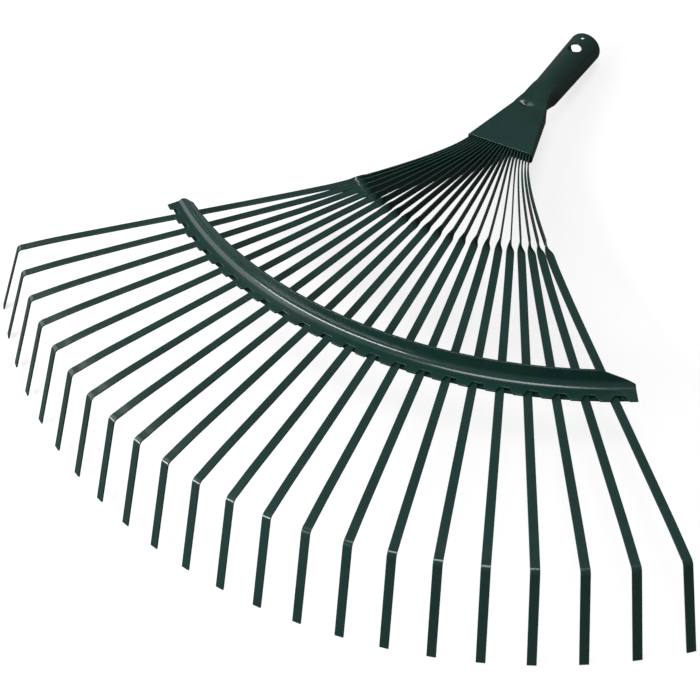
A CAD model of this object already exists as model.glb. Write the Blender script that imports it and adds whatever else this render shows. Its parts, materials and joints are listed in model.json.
import bmesh
import bpy
import json
import math
from mathutils import Matrix, Vector


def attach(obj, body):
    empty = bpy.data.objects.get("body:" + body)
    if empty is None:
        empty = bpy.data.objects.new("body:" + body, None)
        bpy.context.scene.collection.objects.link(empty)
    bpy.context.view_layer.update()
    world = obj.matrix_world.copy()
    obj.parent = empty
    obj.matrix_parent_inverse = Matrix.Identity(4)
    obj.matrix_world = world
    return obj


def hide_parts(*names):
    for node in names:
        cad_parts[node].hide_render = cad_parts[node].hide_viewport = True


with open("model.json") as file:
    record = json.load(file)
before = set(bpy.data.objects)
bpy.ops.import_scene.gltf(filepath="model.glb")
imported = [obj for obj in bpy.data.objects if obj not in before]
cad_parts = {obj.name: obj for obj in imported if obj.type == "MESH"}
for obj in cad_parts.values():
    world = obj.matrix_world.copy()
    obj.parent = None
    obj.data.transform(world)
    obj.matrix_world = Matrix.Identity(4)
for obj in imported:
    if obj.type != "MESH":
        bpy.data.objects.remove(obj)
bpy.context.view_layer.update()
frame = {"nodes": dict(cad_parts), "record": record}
mm = 0.001
quarterTurn = (0, math.pi / 6, math.pi / 3, math.pi / 2)

# The head is worked out flat, as it is drawn: tines in the XY plane, handle towards +Y, fan centre at
# the origin. The socket's mount then says how that plane lies when the head rests on the ground.
socket = dict(mouthY=80.7, axisZ=9.8)
mount = frame["record"]["mounts"][0]
tilt = -math.atan2(mount["axis"][2], mount["axis"][1])
turn = Matrix.Rotation(-tilt, 4, "X")
mouth = Vector((0, socket["mouthY"], socket["axisZ"])) * mm
atRest = Matrix.Translation(Vector(mount["pos_m"]) - turn @ mouth) @ turn


def ease(t):
    t = max(0.0, min(1.0, t))
    return t * t * (3 - 2 * t)


def mix(a, b, t):
    return a + (b - a) * t


def heading(angle):
    return Vector((math.sin(math.radians(angle)), -math.cos(math.radians(angle))))


# Mesh helpers

def markEdges(mesh, values):
    # the share of edge wear at each point
    mesh.attributes.new("edge", "FLOAT", "POINT").data.foreach_set("value", values)


def meshObject(name, points, faces, material, edgeMarks=None):
    mesh = bpy.data.meshes.new(name)
    mesh.from_pydata([atRest @ (Vector(p) * mm) for p in points], [], faces)
    mesh.materials.append(material)
    if edgeMarks:
        markEdges(mesh, edgeMarks)
    made = bpy.data.objects.new(name, mesh)
    bpy.context.scene.collection.objects.link(made)
    return made


def bakeModifiers(made):
    graph = bpy.context.evaluated_depsgraph_get()
    mesh = bpy.data.meshes.new_from_object(made.evaluated_get(graph), depsgraph=graph)
    made.modifiers.clear()
    made.data = mesh
    mesh.name = made.name


def tidyMesh(made, sharpAngle=40):
    # one skin, and even shading over the small rounded edges
    work = bmesh.new()
    work.from_mesh(made.data)
    bmesh.ops.remove_doubles(work, verts=work.verts, dist=0.002 * mm)
    bmesh.ops.dissolve_degenerate(work, edges=work.edges, dist=0.001 * mm)
    work.to_mesh(made.data)
    work.free()
    made.data.validate()
    made.data.shade_smooth()
    made.data.set_sharp_from_angle(angle=math.radians(sharpAngle))
    even = made.modifiers.new("evenShading", "WEIGHTED_NORMAL")
    even.keep_sharp = True
    bakeModifiers(made)


def settle(made, slotName, *nodes):
    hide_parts(*nodes)
    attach(made, "root")


# Shader groups

def newGroup(name, inputs, outputs):
    group = bpy.data.node_groups.new(name, "ShaderNodeTree")
    for socketName, kind, value in inputs:
        made = group.interface.new_socket(socketName, in_out="INPUT", socket_type=kind)
        if value is not None:
            made.default_value = value
    for socketName, kind in outputs:
        group.interface.new_socket(socketName, in_out="OUTPUT", socket_type=kind)
    return group, group.nodes.new("NodeGroupInput"), group.nodes.new("NodeGroupOutput")


def noiseAt(nodes, links, vector, scale, detail=3.0, roughness=0.5):
    noise = nodes.new("ShaderNodeTexNoise")
    noise.inputs["Scale"].default_value = scale
    noise.inputs["Detail"].default_value = detail
    noise.inputs["Roughness"].default_value = roughness
    links.new(vector, noise.inputs["Vector"])
    return noise.outputs["Fac"]


def rangeOf(nodes, links, value, fromLow, fromHigh, toLow, toHigh):
    node = nodes.new("ShaderNodeMapRange")
    limits = {"From Min": fromLow, "From Max": fromHigh, "To Min": toLow, "To Max": toHigh}
    for socketName, number in limits.items():
        node.inputs[socketName].default_value = number
    links.new(value, node.inputs["Value"])
    return node.outputs["Result"]


def mathOf(nodes, links, operation, a, b):
    node = nodes.new("ShaderNodeMath")
    node.operation = operation
    for k, value in enumerate((a, b)):
        if isinstance(value, (int, float)):
            node.inputs[k].default_value = value
        else:
            links.new(value, node.inputs[k])
    return node.outputs[0]


def bumpOf(nodes, links, height, distance):
    bump = nodes.new("ShaderNodeBump")
    bump.inputs["Strength"].default_value = 1.0
    bump.inputs["Distance"].default_value = distance
    links.new(height, bump.inputs["Height"])
    return bump.outputs["Normal"]


def mixColour(nodes, links, share, a, b):
    node = nodes.new("ShaderNodeMix")
    node.data_type = "RGBA"
    links.new(share, node.inputs["Factor"])
    for socketName, value in (("A", a), ("B", b)):
        place = [s for s in node.inputs if s.name == socketName and s.type == "RGBA"][0]
        if isinstance(value, tuple):
            place.default_value = value
        else:
            links.new(value, place)
    return [s for s in node.outputs if s.type == "RGBA"][0]


def makeBroadTone():
    # slow drift of tone over a coated sheet, with a finer mottle in it
    broadScale, mottleScale, broadShare = 14.0, 160.0, 0.65
    group, start, end = newGroup(
        "broadTone",
        [("Vector", "NodeSocketVector", None), ("Broad Scale", "NodeSocketFloat", broadScale),
         ("Mottle Scale", "NodeSocketFloat", mottleScale)],
        [("Tone", "NodeSocketFloat")])
    nodes, links = group.nodes, group.links
    broad = noiseAt(nodes, links, start.outputs["Vector"], broadScale, 2.0)
    mottle = noiseAt(nodes, links, start.outputs["Vector"], mottleScale, 4.0)
    links.new(start.outputs["Broad Scale"], broad.node.inputs["Scale"])
    links.new(start.outputs["Mottle Scale"], mottle.node.inputs["Scale"])
    both = mathOf(nodes, links, "MULTIPLY_ADD", broad, broadShare)
    links.new(mathOf(nodes, links, "MULTIPLY", mottle, 1 - broadShare), both.node.inputs[2])
    links.new(both, end.inputs["Tone"])
    return group


def makeDust():
    # fine dust that lies on what faces up, thicker in soft patches
    group, start, end = newGroup(
        "dust",
        [("Vector", "NodeSocketVector", None), ("Amount", "NodeSocketFloat", 0.3)],
        [("Mask", "NodeSocketFloat")])
    nodes, links = group.nodes, group.links
    grainScale, patchScale = 1900.0, 26.0
    place = start.outputs["Vector"]
    grains = rangeOf(nodes, links, noiseAt(nodes, links, place, grainScale, 2.0), 0.58, 0.72, 0.0, 1.0)
    patches = rangeOf(nodes, links, noiseAt(nodes, links, place, patchScale, 4.0), 0.42, 0.68, 0.15, 1.0)
    facing = nodes.new("ShaderNodeNewGeometry")
    split = nodes.new("ShaderNodeSeparateXYZ")
    links.new(facing.outputs["Normal"], split.inputs[0])
    upward = rangeOf(nodes, links, split.outputs["Z"], 0.35, 0.95, 0.0, 1.0)
    laid = mathOf(nodes, links, "MULTIPLY", mathOf(nodes, links, "MULTIPLY", grains, patches), upward)
    links.new(mathOf(nodes, links, "MULTIPLY", laid, start.outputs["Amount"]), end.inputs["Mask"])
    return group


def makeEdgeWear():
    # the coat is thin and rubbed along sheared and folded edges, in short stretches
    group, start, end = newGroup(
        "edgeWear",
        [("Vector", "NodeSocketVector", None), ("Edge", "NodeSocketFloat", 0.0),
         ("Amount", "NodeSocketFloat", 0.4)],
        [("Thin", "NodeSocketFloat"), ("Bare", "NodeSocketFloat")])
    nodes, links = group.nodes, group.links
    stretchScale, chipScale = 70.0, 420.0
    edge = rangeOf(nodes, links, start.outputs["Edge"], 0.6, 1.0, 0.0, 1.0)
    breakUp = noiseAt(nodes, links, start.outputs["Vector"], stretchScale, 5.0, 0.6)
    thin = mathOf(nodes, links, "MULTIPLY", edge, rangeOf(nodes, links, breakUp, 0.3, 0.7, 0.3, 1.0))
    chips = noiseAt(nodes, links, start.outputs["Vector"], chipScale, 4.0, 0.6)
    bare = mathOf(nodes, links, "MULTIPLY", edge, rangeOf(nodes, links, chips, 0.70, 0.73, 0.0, 1.0))
    links.new(mathOf(nodes, links, "MULTIPLY", thin, start.outputs["Amount"]), end.inputs["Thin"])
    links.new(mathOf(nodes, links, "MULTIPLY", bare, start.outputs["Amount"]), end.inputs["Bare"])
    return group


shaderGroups = dict(tone=makeBroadTone(), dust=makeDust(), wear=makeEdgeWear())
print("shader groups made")


def placeGroup(nodes, links, group, vector, **values):
    node = nodes.new("ShaderNodeGroup")
    node.node_tree = shaderGroups[group]
    links.new(vector, node.inputs["Vector"])
    for name, value in values.items():
        node.inputs[name].default_value = value
    return node


enamelLook = dict(
    deep=(0.0080, 0.037, 0.031, 1),
    full=(0.0115, 0.050, 0.042, 1),
    thin=(0.030, 0.072, 0.062, 1),
    dust=(0.16, 0.18, 0.165, 1),
    bareSteel=(0.30, 0.30, 0.29, 1),
    smudgeScale=48.0,
    roughness=(0.20, 0.32),
    dustDulls=0.5,
    peelScale=720.0,
    sagScale=150.0,
    sagShare=2.5,
    peelDepth=0.00001,
    coatRoughness=0.06,
    coatIor=1.5,
)
steelLook = dict(
    dark=(0.42, 0.42, 0.43, 1),
    pale=(0.55, 0.54, 0.53, 1),
    lineStretch=(0.05, 1, 1),
    lineScale=3000.0,
    lineDepth=0.00002,
    stainScale=200.0,
    roughness=(0.25, 0.45),
)


def makeEnamel(name, look, dustAmount, wearAmount, coat):
    material = bpy.data.materials.new(name)
    material.use_nodes = True
    nodes, links = material.node_tree.nodes, material.node_tree.links
    shader = nodes["Principled BSDF"]
    place = nodes.new("ShaderNodeTexCoord").outputs["Object"]
    tone = placeGroup(nodes, links, "tone", place)
    dust = placeGroup(nodes, links, "dust", place, Amount=dustAmount)
    wear = placeGroup(nodes, links, "wear", place, Amount=wearAmount)
    edge = nodes.new("ShaderNodeAttribute")
    edge.attribute_name = "edge"
    links.new(edge.outputs["Fac"], wear.inputs["Edge"])

    drift = rangeOf(nodes, links, tone.outputs["Tone"], 0.36, 0.64, 0.0, 1.0)
    colour = mixColour(nodes, links, drift, look["deep"], look["full"])
    colour = mixColour(nodes, links, wear.outputs["Thin"], colour, look["thin"])
    colour = mixColour(nodes, links, wear.outputs["Bare"], colour, look["bareSteel"])
    colour = mixColour(nodes, links, dust.outputs["Mask"], colour, look["dust"])
    links.new(colour, shader.inputs["Base Color"])

    smudge = noiseAt(nodes, links, place, look["smudgeScale"], 5.0, 0.6)
    gloss = rangeOf(nodes, links, smudge, 0.3, 0.7, *look["roughness"])
    dulled = mathOf(nodes, links, "MULTIPLY_ADD", dust.outputs["Mask"], look["dustDulls"])
    links.new(gloss, dulled.node.inputs[2])
    links.new(dulled, shader.inputs["Roughness"])

    peel = noiseAt(nodes, links, place, look["peelScale"], 1.5)
    sag = noiseAt(nodes, links, place, look["sagScale"], 2.0)
    height = mathOf(nodes, links, "MULTIPLY_ADD", sag, look["sagShare"])
    links.new(peel, height.node.inputs[2])
    links.new(bumpOf(nodes, links, height, look["peelDepth"]), shader.inputs["Normal"])
    shader.inputs["Coat Weight"].default_value = coat
    shader.inputs["Coat Roughness"].default_value = look["coatRoughness"]
    shader.inputs["Coat IOR"].default_value = look["coatIor"]
    return material


def makeDrawnSteel(look):
    # plain wire with the fine lengthwise lines of the drawing die
    material = bpy.data.materials.new("drawnSteel")
    material.use_nodes = True
    nodes, links = material.node_tree.nodes, material.node_tree.links
    shader = nodes["Principled BSDF"]
    place = nodes.new("ShaderNodeTexCoord").outputs["Object"]
    stretch = nodes.new("ShaderNodeMapping")
    stretch.inputs["Scale"].default_value = look["lineStretch"]
    links.new(place, stretch.inputs["Vector"])
    lines = noiseAt(nodes, links, stretch.outputs["Vector"], look["lineScale"], 3.0)
    stain = noiseAt(nodes, links, place, look["stainScale"], 4.0)
    links.new(mixColour(nodes, links, stain, look["dark"], look["pale"]), shader.inputs["Base Color"])
    links.new(rangeOf(nodes, links, lines, 0.3, 0.7, *look["roughness"]), shader.inputs["Roughness"])
    links.new(bumpOf(nodes, links, lines, look["lineDepth"]), shader.inputs["Normal"])
    shader.inputs["Metallic"].default_value = 1.0
    return material


sheetEnamel = makeEnamel("sheetEnamel", enamelLook, dustAmount=0.04, wearAmount=0.35, coat=0.5)
stripEnamel = makeEnamel("stripEnamel", enamelLook, dustAmount=0.05, wearAmount=0.45, coat=0.6)
underEnamel = makeEnamel("underEnamel", enamelLook, dustAmount=0.05, wearAmount=0.25, coat=0.3)
drawnSteel = makeDrawnSteel(steelLook)
print("finishes made")

# Tines

tineSize = dict(
    count=22, stripWidth=5.0, stripThickness=1.0, edgeRadius=0.22,
    elbowRadius=360.0, outerElbowIn=4.2, holdRadius=235.0, fanAngle=75.6, outerIn=0.9, flare=7.6,
    legLength=59.5, legTrim=6.5, legAngle=67.0, outerOpen=2.6, elbowBend=3.5, dipLength=32.0, dip=1.1,
    flatRadius=139.465, twistLength=14.0, twistOuterIn=3.0, straightRadius=156.0, straightOuterOut=50.0,
    levelRadius=232.0, levelOuterIn=82.0, dropPower=1.2,
    mouthPitch=2.1, rootPitch=1.08, mouthY=47.0, rootY=-7.0, mouthSpread=28.4, mouthSpreadLoss=12.7,
    mouthReach=0.12, straightReach=0.62, pocketZ=7.5)
stripRows = dict(root=6, pocket=20, twist=22, flat=10, straight=8, dip=9, elbow=12, leg=3)
halvings = 24


def sideShare(number):
    # -1 at the first tine, 0 in the middle of the fan and 1 at the last tine
    middle = (tineSize["count"] + 1) / 2
    return (number - middle) / (tineSize["count"] - middle)


def heldAt(number):
    # where a tine is held, in plan, and the angle at which it runs outwards
    side = sideShare(number)
    placeAngle = tineSize["fanAngle"] / 2 * side - tineSize["outerIn"] * side ** 3
    return tineSize["holdRadius"] * heading(placeAngle), placeAngle + tineSize["flare"] * side ** 3


def meetCircle(held, out, radius):
    # where the line through held, along out, meets a circle round the origin
    along = held.dot(out)
    return held + (math.sqrt(along * along - held.dot(held) + radius * radius) - along) * out


def bezier(c, t):
    s = 1 - t
    return s ** 3 * c[0] + 3 * s * s * t * c[1] + 3 * s * t * t * c[2] + t ** 3 * c[3]


def bendBetween(a, b, leave, arrive, first, second):
    reach = (b - a).length
    return [a, a + first * reach * heading(leave), b - second * reach * heading(arrive), b]


def crossedAt(curve, radius):
    low, high = 0.0, 1.0
    for halving in range(halvings):
        t = (low + high) / 2
        low, high = (t, high) if bezier(curve, t).length < radius else (low, t)
    return (low + high) / 2


def tineLine(number, size):
    # points on the strip's middle from root to tip, each with the angle the strip is turned by
    fromMiddle = number - (size["count"] + 1) / 2
    side = sideShare(number)
    held, outAngle = heldAt(number)
    out = heading(outAngle)
    leave = size["mouthSpread"] * side - size["mouthSpreadLoss"] * side ** 3
    root = Vector((size["rootPitch"] * fromMiddle, size["rootY"]))
    mouthPoint = Vector((size["mouthPitch"] * fromMiddle, -size["mouthY"]))
    chord = mouthPoint - root
    chordAngle = math.degrees(math.atan2(chord.x, -chord.y))
    inner = bendBetween(root, mouthPoint, 2 * chordAngle - leave, leave, 1 / 3, 1 / 3)
    straight = meetCircle(held, out, size["straightRadius"] + size["straightOuterOut"] * side * side)
    outer = bendBetween(mouthPoint, straight, leave, outAngle, size["mouthReach"], size["straightReach"])
    turnRadius = size["flatRadius"] - size["twistLength"] + size["twistOuterIn"] * (1 - side * side)
    turnAt, flatAt = crossedAt(outer, turnRadius), crossedAt(outer, turnRadius + size["twistLength"])
    level = meetCircle(held, out, size["levelRadius"])
    elbow = meetCircle(held, out, size["elbowRadius"] - size["outerElbowIn"] * side * side)
    legAngle = math.radians(size["legAngle"] - size["outerOpen"] * side * side)
    legLength = size["legLength"] - size["legTrim"] * side * side
    dipAngle = math.atan2(2 * size["dip"], size["dipLength"])
    start = size["elbowBend"] * math.tan((legAngle - dipAngle) / 2)

    def raised(p, drop=0.0):
        levelAt = size["levelRadius"] - size["levelOuterIn"] * side * side
        gone = (p.length - mouthPoint.length) / (levelAt - mouthPoint.length)
        z = size["pocketZ"] * (1 - max(0.0, min(1.0, gone))) ** size["dropPower"]
        return (p.x, p.y, z - drop)

    def fromElbow(forward, up):
        p = elbow + forward * out
        return (p.x, p.y, up - size["dip"])

    def onCurve(curve, low, high, steps, turning):
        shares = [s / steps for s in range(steps)]
        return [(raised(bezier(curve, mix(low, high, s))), turning(s)) for s in shares]

    line = onCurve(inner, 0, 1, stripRows["root"], lambda s: 0.0)
    line += onCurve(outer, 0, turnAt, stripRows["pocket"], lambda s: 0.0)
    line += onCurve(outer, turnAt, flatAt, stripRows["twist"], lambda s: 90 * ease(s))
    line += onCurve(outer, flatAt, 1, stripRows["flat"], lambda s: 90.0)
    steps = stripRows["straight"]
    line += [(raised(straight.lerp(level, s / steps)), 90.0) for s in range(steps + 1)]
    steps = stripRows["dip"]
    for s in range(steps):
        back = mix(size["dipLength"], start, s / steps)
        line.append((raised(elbow - back * out, size["dip"] * (s / steps) ** 2), 90.0))
    bend, steps = size["elbowBend"], stripRows["elbow"]
    arcX = -start * math.cos(dipAngle) - bend * math.sin(dipAngle)
    arcZ = start * math.sin(dipAngle) - bend * math.cos(dipAngle)
    for s in range(steps + 1):
        angle = mix(dipAngle, legAngle, s / steps)
        line.append((fromElbow(arcX + bend * math.sin(angle), arcZ + bend * math.cos(angle)), 90.0))
    steps = stripRows["leg"]
    for s in range(1, steps + 1):
        reach = mix(start, legLength, s / steps)
        line.append((fromElbow(reach * math.cos(legAngle), -reach * math.sin(legAngle)), 90.0))
    return line


def makeStripTree():
    # sweeps a flat strip with rolled edges along a line, turned at each point by its "turned" angle
    tree = bpy.data.node_groups.new("stripAlongLine", "GeometryNodeTree")
    rollSteps, justOutside = 3, 1.002
    for name, kind, value in (
            ("Line", "NodeSocketGeometry", None), ("Strip Width", "NodeSocketFloat", 0.005),
            ("Strip Thickness", "NodeSocketFloat", 0.001), ("Edge Radius", "NodeSocketFloat", 0.0002),
            ("Finish", "NodeSocketMaterial", None)):
        made = tree.interface.new_socket(name, in_out="INPUT", socket_type=kind)
        if value is not None:
            made.default_value = value
    tree.interface.new_socket("Strip", in_out="OUTPUT", socket_type="NodeSocketGeometry")
    nodes, links = tree.nodes, tree.links
    start, end = nodes.new("NodeGroupInput"), nodes.new("NodeGroupOutput")
    curve = nodes.new("GeometryNodeMeshToCurve")
    links.new(start.outputs["Line"], curve.inputs["Mesh"])
    upright = nodes.new("GeometryNodeSetCurveNormal")
    upright.mode = "Z_UP"
    links.new(curve.outputs["Curve"], upright.inputs["Curve"])
    turned = nodes.new("GeometryNodeInputNamedAttribute")
    turned.data_type = "FLOAT"
    turned.inputs["Name"].default_value = "turned"
    tilted = nodes.new("GeometryNodeSetCurveTilt")
    links.new(upright.outputs["Curve"], tilted.inputs["Curve"])
    links.new(turned.outputs["Attribute"], tilted.inputs["Tilt"])

    outline = nodes.new("GeometryNodeCurvePrimitiveQuadrilateral")
    links.new(start.outputs["Strip Thickness"], outline.inputs["Width"])
    links.new(start.outputs["Strip Width"], outline.inputs["Height"])
    rolled = nodes.new("GeometryNodeFilletCurve")
    rolled.mode = "POLY"
    rolled.inputs["Count"].default_value = rollSteps
    links.new(outline.outputs["Curve"], rolled.inputs["Curve"])
    links.new(start.outputs["Edge Radius"], rolled.inputs["Radius"])
    place = nodes.new("GeometryNodeInputPosition")
    split = nodes.new("ShaderNodeSeparateXYZ")
    links.new(place.outputs[0], split.inputs[0])
    side = mathOf(nodes, links, "ABSOLUTE", split.outputs["Y"], 0.0)
    half = mathOf(nodes, links, "MULTIPLY", start.outputs["Strip Width"], 0.5)
    inner = mathOf(nodes, links, "SUBTRACT", half, start.outputs["Edge Radius"])
    outside = mathOf(nodes, links, "MULTIPLY", inner, justOutside)
    onEdge = mathOf(nodes, links, "GREATER_THAN", side, outside)
    marked = nodes.new("GeometryNodeStoreNamedAttribute")
    marked.data_type = "FLOAT"
    marked.domain = "POINT"
    marked.inputs["Name"].default_value = "edge"
    links.new(rolled.outputs["Curve"], marked.inputs["Geometry"])
    links.new(onEdge, marked.inputs["Value"])

    sweep = nodes.new("GeometryNodeCurveToMesh")
    sweep.inputs["Fill Caps"].default_value = True
    links.new(tilted.outputs["Curve"], sweep.inputs["Curve"])
    links.new(marked.outputs["Geometry"], sweep.inputs["Profile Curve"])
    real = nodes.new("GeometryNodeRealizeInstances")
    painted = nodes.new("GeometryNodeSetMaterial")
    links.new(sweep.outputs["Mesh"], real.inputs["Geometry"])
    links.new(real.outputs["Geometry"], painted.inputs["Geometry"])
    links.new(start.outputs["Finish"], painted.inputs["Material"])
    links.new(painted.outputs["Geometry"], end.inputs["Strip"])
    return tree


def socketId(tree, name):
    return [s.identifier for s in tree.interface.items_tree if s.name == name and s.in_out == "INPUT"][0]


def makeTine(number, size, tree):
    line = tineLine(number, size)
    name = f"tineStrip.{number:02d}"
    mesh = bpy.data.meshes.new(name)
    mesh.from_pydata([Vector(p) * mm for p, angle in line], [(k, k + 1) for k in range(len(line) - 1)], [])
    turned = [math.radians(angle) for p, angle in line]
    mesh.attributes.new("turned", "FLOAT", "POINT").data.foreach_set("value", turned)
    made = bpy.data.objects.new(name, mesh)
    bpy.context.scene.collection.objects.link(made)
    sweep = made.modifiers.new("strip", "NODES")
    sweep.node_group = tree
    sweep[socketId(tree, "Strip Width")] = size["stripWidth"] * mm
    sweep[socketId(tree, "Strip Thickness")] = size["stripThickness"] * mm
    sweep[socketId(tree, "Edge Radius")] = size["edgeRadius"] * mm
    sweep[socketId(tree, "Finish")] = stripEnamel
    bakeModifiers(made)
    made.data.transform(atRest)
    tidyMesh(made)
    settle(made, "enamel", f"tine_{number:02d}")
    return made


stripTree = makeStripTree()
for number in range(1, tineSize["count"] + 1):
    makeTine(number, tineSize, stripTree)
print("tines made")

# Ferrule: pressed pocket, neck and round handle socket

ferruleSize = dict(
    mouthY=tineSize["mouthY"], pocketZ=tineSize["pocketZ"], socketZ=socket["axisZ"],
    stepY=4.5, neckLength=17.5, neckRise=9.5, socketLength=58.7,
    pocketHalfHeight=3.85, sideRoom=0.3, stripDepth=40.0, sheet=1.2, corner=1.7, leastCorner=0.4, lip=0.3,
    boreRadius=10.6, rimWall=1.3, boreLength=44.0, boreEndRadius=9.6, neckWall=1.1, leastWall=0.3,
    buttonRadius=5.0, buttonIn=18.7, screwRadius=1.6, screwIn=5.7, holeFrom=2.0, cutReach=20.0,
    seamWidth=0.6, seamFrom=3.0, seamStart=1.0, seamPast=2.0, softWidth=0.18,
    pocketOpen=3.0, neckTuck=0.35, tuckEnd=5 / 6,
    pitX=-3.2, pitY=-4.3, pitDepth=1.5, pitReach=1.9, pitWide=3.6)
shellSteps = dict(corner=10, flat=24, pocket=14, pit=26, neck=24, socket=26, hole=64)


def pocketHalf(y, size):
    # the side walls follow the stack of strips, narrower towards their roots
    middle = (tineSize["count"] - 1) / 2
    room = tineSize["stripThickness"] / 2 + size["sideRoom"]
    wide = middle * tineSize["mouthPitch"] + room
    narrow = middle * tineSize["rootPitch"] + room
    return mix(wide, narrow, (y + size["mouthY"]) / size["stripDepth"]) + size["sheet"]


def roundedBox(halfWide, low, top, radius):
    # ring of points round a box with rounded corners, in the XZ plane, from the top of its right side
    cz, halfHigh = (low + top) / 2, (top - low) / 2
    radius = min(radius, halfWide, halfHigh)
    cornerSteps, flatSteps = shellSteps["corner"], shellSteps["flat"]

    def cornerAt(quarter):
        cx = (halfWide - radius) * (1 if quarter % 4 in (0, 3) else -1)
        return cx, (halfHigh - radius) * (1 if quarter % 4 < 2 else -1)

    ring = []
    for quarter in range(4):
        cx, cy = cornerAt(quarter)
        for s in range(cornerSteps):
            a = math.radians(90 * (quarter + s / (cornerSteps - 1)))
            ring.append((cx + radius * math.cos(a), cz + cy + radius * math.sin(a)))
        a = math.radians(90 * (quarter + 1))
        nextX, nextY = cornerAt(quarter + 1)
        for s in range(1, flatSteps):
            t = s / flatSteps
            x, z = mix(cx, nextX, t) + radius * math.cos(a), cz + mix(cy, nextY, t) + radius * math.sin(a)
            ring.append((x, z))
    return ring


def ferruleRing(y, inset, size):
    # outline of the ferrule at y, drawn in by inset
    neckY = size["stepY"] + size["neckLength"]
    riseY = size["stepY"] - size["neckRise"]
    neckR = size["boreEndRadius"] + size["neckWall"]
    mouthR = size["boreRadius"] + size["rimWall"]
    socketZ = size["socketZ"]
    t = max(0.0, min(1.0, (y - riseY) / (neckY - riseY)))
    if t >= 1:
        half = mix(neckR, mouthR, (y - neckY) / size["socketLength"])
        low, top = socketZ - half, socketZ + half
    else:
        half = pocketHalf(min(y, size["stepY"]), size)
        if y > size["stepY"]:
            half = mix(half, neckR, ease((y - size["stepY"]) / size["neckLength"]))
        boxLow = size["pocketZ"] - size["pocketHalfHeight"]
        opened = size["pocketOpen"] * (min(y, riseY) + size["mouthY"]) / (riseY + size["mouthY"])
        boxTop = size["pocketZ"] + size["pocketHalfHeight"] + opened
        low = mix(boxLow, socketZ - neckR, 1 - math.cos(math.pi / 2 * t))
        top = mix(boxTop, socketZ + neckR, math.sin(math.pi / 2 * t))
    half, low, top = half - inset, low + inset, top - inset
    cz, halfHigh = (low + top) / 2, (top - low) / 2
    roundShare = t * t * (2 - t)
    tuck = size["neckTuck"] * math.sin(math.pi * min(1, t / size["tuckEnd"]))
    pit = size["pitDepth"] * math.exp(-((y - size["pitY"]) / size["pitReach"]) ** 2)
    ring = []
    for x, z in roundedBox(half, low, top, max(size["leastCorner"], size["corner"] - inset)):
        # the box turns into an ellipse, narrows underneath, and has a small pit on top behind the pocket
        toEllipse = mix(1, 1 / math.hypot(x / half, (z - cz) / halfHigh), roundShare)
        x, z = x * toEllipse, cz + (z - cz) * toEllipse
        x *= 1 - tuck * (top - z) / (top - low)
        if z > cz:
            z -= pit * math.exp(-((x - size["pitX"]) / size["pitWide"]) ** 2)
        ring.append((x, z))
    return ring


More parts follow.
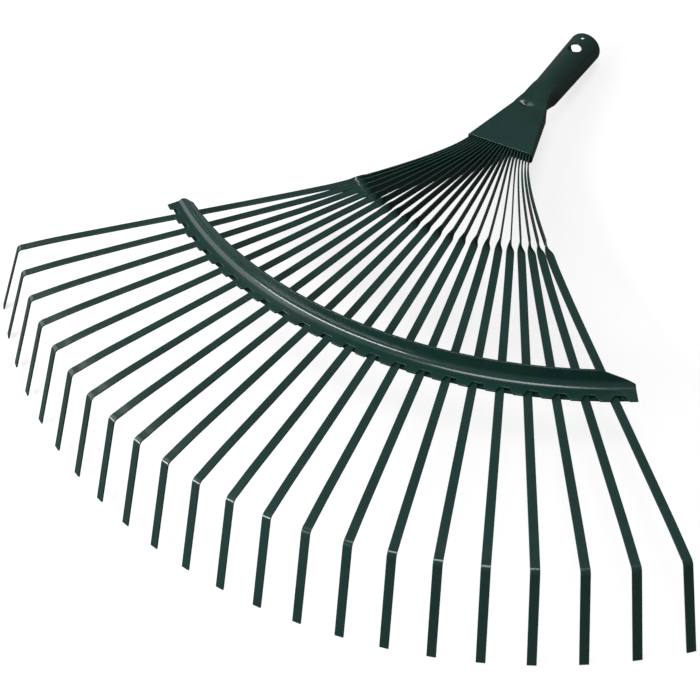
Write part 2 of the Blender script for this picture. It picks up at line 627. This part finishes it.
def makeFerrule(size):
    neckY = size["stepY"] + size["neckLength"]
    endY = neckY + size["socketLength"]
    riseY = size["stepY"] - size["neckRise"]
    lip, lipEnd = size["lip"], -size["mouthY"] + 2 * size["lip"]
    pitStart, pitStop = size["pitY"] - 3 * size["pitReach"], size["pitY"] + 3 * size["pitReach"]
    # rows of the outer skin from the mouth to the rim, as y and how far the row is drawn in
    lipRows = [(lip * (1 - math.sin(a)), lip * (1 - math.cos(a))) for a in quarterTurn]
    outerRows = [(-size["mouthY"] + back, inset) for back, inset in lipRows[::-1]]
    stretches = ((lipEnd, pitStart, "pocket"), (pitStart, pitStop, "pit"), (pitStop, neckY, "neck"),
                 (neckY, endY - 2 * lip, "socket"))
    for low, high, part in stretches:
        outerRows += [(mix(low, high, s / shellSteps[part]), 0.0) for s in range(shellSteps[part])]
    outerRows += [(endY - 2 * lip, 0.0)] + [(endY - back, inset) for back, inset in lipRows]
    boreY = endY - size["boreLength"]

    def wallAt(y):
        if y < riseY:
            return size["sheet"]
        if y < neckY:
            return mix(size["sheet"], size["neckWall"], (y - riseY) / (neckY - riseY))
        outer = mix(size["boreEndRadius"] + size["neckWall"], size["boreRadius"] + size["rimWall"],
                    (y - neckY) / size["socketLength"])
        inner = mix(size["boreEndRadius"], size["boreRadius"], min(1.0, (y - neckY) / (boreY - neckY)))
        return outer - inner

    def innerInset(y, inset):
        return wallAt(y) if inset == 0 else max(wallAt(y) - inset, inset + size["leastWall"])

    innerRows = [(y, innerInset(y, inset)) for y, inset in outerRows]
    rings = [[(x, y, z) for x, z in ferruleRing(y, inset, size)] for y, inset in outerRows]
    rings += [[(x, y, z) for x, z in ferruleRing(y, inset, size)] for y, inset in reversed(innerRows)]
    count = len(rings[0])
    points = [p for ring in rings for p in ring]
    faces = []
    for j in range(len(rings)):
        k = (j + 1) % len(rings)
        for i in range(count):
            n = (i + 1) % count
            faces.append((j * count + i, k * count + i, k * count + n, j * count + n))
    made = meshObject("ferruleShell", points, faces, sheetEnamel)

    cutPoints, cutFaces, sharp = [], [], 50

    def addPrism(outline, low, high):
        base = len(cutPoints)
        cutPoints.extend([(x, y, low) for x, y in outline] + [(x, y, high) for x, y in outline])
        n = len(outline)
        cutFaces.append(tuple(base + k for k in reversed(range(n))))
        cutFaces.append(tuple(base + n + k for k in range(n)))
        for k in range(n):
            m = (k + 1) % n
            cutFaces.append((base + k, base + m, base + n + m, base + n + k))

    # the two holes go through the top wall only, and the seam through the bottom wall only
    axisZ, reach = size["socketZ"], size["cutReach"]
    for radius, back in ((size["buttonRadius"], size["buttonIn"]), (size["screwRadius"], size["screwIn"])):
        turns = [2 * math.pi * s / shellSteps["hole"] for s in range(shellSteps["hole"])]
        circle = [(radius * math.cos(a), endY - back + radius * math.sin(a)) for a in turns]
        addPrism(circle, axisZ + size["holeFrom"], axisZ + reach)
    seam, seamY, seamEnd = size["seamWidth"] / 2, neckY + size["seamStart"], endY + size["seamPast"]
    addPrism([(-seam, seamY), (seam, seamY), (seam, seamEnd), (-seam, seamEnd)],
             axisZ - reach, axisZ - size["seamFrom"])
    cutter = meshObject("ferruleCutter", cutPoints, cutFaces, sheetEnamel)
    cut = made.modifiers.new("holes", "BOOLEAN")
    cut.operation = "DIFFERENCE"
    cut.solver = "EXACT"
    cut.object = cutter
    soften = made.modifiers.new("softEdges", "BEVEL")
    soften.width = size["softWidth"] * mm
    soften.segments = 2
    soften.limit_method = "ANGLE"
    soften.angle_limit = math.radians(sharp)
    soften.use_clamp_overlap = True
    bakeModifiers(made)
    bpy.data.objects.remove(cutter)
    drawn = (atRest.inverted() @ v.co / mm for v in made.data.vertices)
    markEdges(made.data, [1.0 if p.y > endY - lip else 0.0 for p in drawn])
    tidyMesh(made, sharp)
    settle(made, "enamel", "ferrule")
    return made


makeFerrule(ferruleSize)
print("ferrule made")

# Brace: a curved angle of sheet with a notched front edge

braceSize = dict(
    arcBack=66.0, radius=297.2, sheet=1.2, wallHeight=11.79, wallSlant=20.0, wallEnd=1.0, flangeWidth=12.6,
    bend=4.5, overhang=12.0, notchDepth=4.0, notchRoom=0.3, notchLean=2.3, notchSet=2.4, notchRamp=2.5,
    flangeLow=0.6, soft=0.22, topRoom=0.02)
braceSteps = dict(column=1.1, fold=14)


def crossing(number, radius):
    # angle about the brace's arc centre at which a tine crosses a circle
    held, outAngle = heldAt(number)
    p = meetCircle(held - Vector((0, braceSize["arcBack"])), heading(outAngle), radius)
    return math.degrees(math.atan2(p.x, -p.y))


def degreesOf(length, radius):
    return math.degrees(length / radius)


def onArc(angle, radius, z):
    p = heading(angle) * radius
    return (p.x, p.y + braceSize["arcBack"], z)


def makeBrace(size):
    frontR = size["radius"] + size["flangeWidth"]
    halfAngle = crossing(tineSize["count"], frontR) + degreesOf(size["overhang"], frontR)
    halfRoot = tineSize["stripWidth"] / 2 + size["notchRoom"]
    middle = (tineSize["count"] + 1) / 2
    halfMouth, notchR = halfRoot + size["notchLean"], frontR - size["notchDepth"]
    notch = ((-halfMouth, frontR), (-halfRoot, notchR), (halfRoot, notchR), (halfMouth, frontR))
    # the front edge as angle and radius, with each notch as four corners
    edge = [(-halfAngle, frontR)]
    for number in range(1, tineSize["count"] + 1):
        setOut = size["notchSet"] * max(-1, min(1, (number - middle) / size["notchRamp"]))
        centre = crossing(number, frontR) + degreesOf(setOut, frontR)
        edge += [(centre + degreesOf(offset, frontR), radius) for offset, radius in notch]
    edge.append((halfAngle, frontR))
    columns = []
    for (a, ra), (b, rb) in zip(edge, edge[1:]):
        steps = max(1, round((b - a) / degreesOf(braceSteps["column"], frontR)))
        columns += [(mix(a, b, s / steps), mix(ra, rb, s / steps)) for s in range(steps)]
    columns.append(edge[-1])

    low, top = size["flangeLow"], size["flangeLow"] + size["sheet"]
    soft, bendR, rear = size["soft"], size["bend"], size["radius"]
    cr, cz = rear + size["sheet"] + bendR, top + bendR

    def fold(radius, stopZ):
        # the bend from the flange up to the wall, or as far as the slanted end leaves of it
        last = math.pi / 2 if stopZ >= cz else math.acos((cz - stopZ) / radius)
        angles = [last * k / braceSteps["fold"] for k in range(braceSteps["fold"] + 1)]
        return [(cr - radius * math.sin(a), cz - radius * math.cos(a)) for a in angles]

    def corner(r, z, across, up):
        # quarter round from one side of a sheared edge to its face
        return [(r + across * soft * (1 - math.cos(a)), z + up * soft * (1 - math.sin(a)))
                for a in quarterTurn]

    points, marks, n = [], [], 0
    for angle, front in columns:
        fromEnd = math.radians(halfAngle - abs(angle)) * rear
        slant = size["wallEnd"] + (size["wallHeight"] - size["wallEnd"]) * fromEnd / size["wallSlant"]
        wallTop = top + min(size["wallHeight"] - size["topRoom"], slant)
        inner, outer = fold(bendR, wallTop - soft), fold(bendR + size["sheet"], wallTop - soft)
        innerR, outerR = inner[-1][0], outer[-1][0]
        flat = [(mix(front - 2 * soft, inner[0][0], t), top) for t in (0, 0.35, 0.7)]
        up = [(innerR, mix(inner[-1][1], wallTop - 2 * soft, t)) for t in (0.5, 1)]
        down = [(outerR, mix(wallTop - 2 * soft, outer[-1][1], t)) for t in (0, 0.5)]
        under = [(mix(outer[0][0], front - 2 * soft, t), low) for t in (0.35, 0.7, 1)]
        frontEdge = corner(front, low, -1, 1)[::-1] + corner(front, top, -1, -1)
        topEdge = corner(innerR, wallTop, -1, -1) + corner(outerR, wallTop, 1, -1)[::-1]
        profile = frontEdge + flat + inner + up + topEdge + down + outer[::-1] + under
        n = len(profile)
        points += [onArc(angle, r, z) for r, z in profile]
        marks += [1.0] * len(frontEdge) + [0.0] * len(flat + inner + up)
        marks += [1.0] * len(topEdge) + [0.0] * len(down + outer + under)
    faces = []
    for j in range(len(columns) - 1):
        for k in range(n):
            m = (k + 1) % n
            faces.append((j * n + k, (j + 1) * n + k, (j + 1) * n + m, j * n + m))
    faces.append(tuple(range(n)))
    last = (len(columns) - 1) * n
    faces.append(tuple(last + k for k in reversed(range(n))))
    made = meshObject("bracePlate", points, faces, sheetEnamel, marks)
    tidyMesh(made, 35)
    settle(made, "enamel", "brace_plate")
    return made


makeBrace(braceSize)
print("brace made")

# The retainer and the cross pin keep their own shape and are only painted
for nodeName, finish in (("retainer_plate", underEnamel), ("root_pin", drawnSteel)):
    finishes = frame["nodes"][nodeName].data.materials
    finishes.clear()
    finishes.append(finish)

# Floor, light and camera

stageLook = dict(floorGrey=0.13, seenFloor=0.78, seenShade=0.36, sky=0.14, floorReach=40.0)
lamps = dict(
    frontStrip=dict(towards=(-0.45, -0.70, 0.50), distance=1.5, size=(1.1, 0.22), power=14.0),
    leftSoftbox=dict(towards=(-0.80, -0.05, 0.60), distance=2.4, size=(2.0, 2.0), power=18.0),
    topSoftbox=dict(towards=(0.0, 0.0, 1.0), distance=2.2, size=(0.8, 0.8), power=13.0))
lampTarget = Vector((0, 0, 0.03))
cameraPlace = dict(location=(0.2798, -0.3758, 0.5750), turned=(35.92, 7.72, 32.75), lens=59.3, sensor=36.0)


def paintOf(nodes, kind, level, strength=None):
    node = nodes.new(kind)
    node.inputs["Color"].default_value = (level, level, level, 1)
    if strength is not None:
        node.inputs["Strength"].default_value = strength
    return node


def chooseSeen(nodes, links, unseen, seen, output):
    # the camera sees one shader, and the light on the rake comes from the other
    path = nodes.new("ShaderNodeLightPath")
    choose = nodes.new("ShaderNodeMixShader")
    links.new(path.outputs["Is Camera Ray"], choose.inputs[0])
    links.new(unseen.outputs[0], choose.inputs[1])
    links.new(seen.outputs[0], choose.inputs[2])
    links.new(choose.outputs[0], output.inputs["Surface"])


def makeFloor(look):
    mesh = bpy.data.meshes.new("floor")
    reach = look["floorReach"]
    corners = [(-reach, -reach, 0), (reach, -reach, 0), (reach, reach, 0), (-reach, reach, 0)]
    mesh.from_pydata(corners, [], [(0, 1, 2, 3)])
    floor = bpy.data.objects.new("floor", mesh)
    bpy.context.scene.collection.objects.link(floor)
    material = bpy.data.materials.new("palePaper")
    material.use_nodes = True
    nodes, links = material.node_tree.nodes, material.node_tree.links
    nodes.clear()
    output = nodes.new("ShaderNodeOutputMaterial")
    grey = paintOf(nodes, "ShaderNodeBsdfDiffuse", look["floorGrey"])
    shade = paintOf(nodes, "ShaderNodeBsdfDiffuse", look["seenShade"])
    glow = paintOf(nodes, "ShaderNodeEmission", 1, look["seenFloor"])
    both = nodes.new("ShaderNodeAddShader")
    links.new(shade.outputs[0], both.inputs[0])
    links.new(glow.outputs[0], both.inputs[1])
    chooseSeen(nodes, links, grey, both, output)
    mesh.materials.append(material)


def makeSky(look):
    world = bpy.data.worlds.new("studio")
    bpy.context.scene.world = world
    world.use_nodes = True
    nodes, links = world.node_tree.nodes, world.node_tree.links
    nodes.clear()
    output = nodes.new("ShaderNodeOutputWorld")
    soft = paintOf(nodes, "ShaderNodeBackground", 1, look["sky"])
    white = paintOf(nodes, "ShaderNodeBackground", 1, 1.0)
    chooseSeen(nodes, links, soft, white, output)


def addLamp(name, towards, distance, size, power):
    lamp = bpy.data.lights.new(name, "AREA")
    lamp.shape = "RECTANGLE"
    lamp.size, lamp.size_y = size
    lamp.energy = power
    made = bpy.data.objects.new(name, lamp)
    made.location = lampTarget + Vector(towards).normalized() * distance
    made.rotation_euler = (lampTarget - made.location).to_track_quat("-Z", "Y").to_euler()
    bpy.context.scene.collection.objects.link(made)


def addCamera(place):
    data = bpy.data.cameras.new("camera")
    data.sensor_width = place["sensor"]
    data.lens = place["lens"]
    data.clip_start, data.clip_end = 0.05, 50.0
    camera = bpy.data.objects.new("camera", data)
    camera.location = place["location"]
    camera.rotation_euler = [math.radians(a) for a in place["turned"]]
    bpy.context.scene.collection.objects.link(camera)
    bpy.context.scene.camera = camera


makeFloor(stageLook)
makeSky(stageLook)
for name, lamp in lamps.items():
    addLamp(name, **lamp)
addCamera(cameraPlace)
bpy.context.scene.view_settings.view_transform = "Standard"
print("stage made")
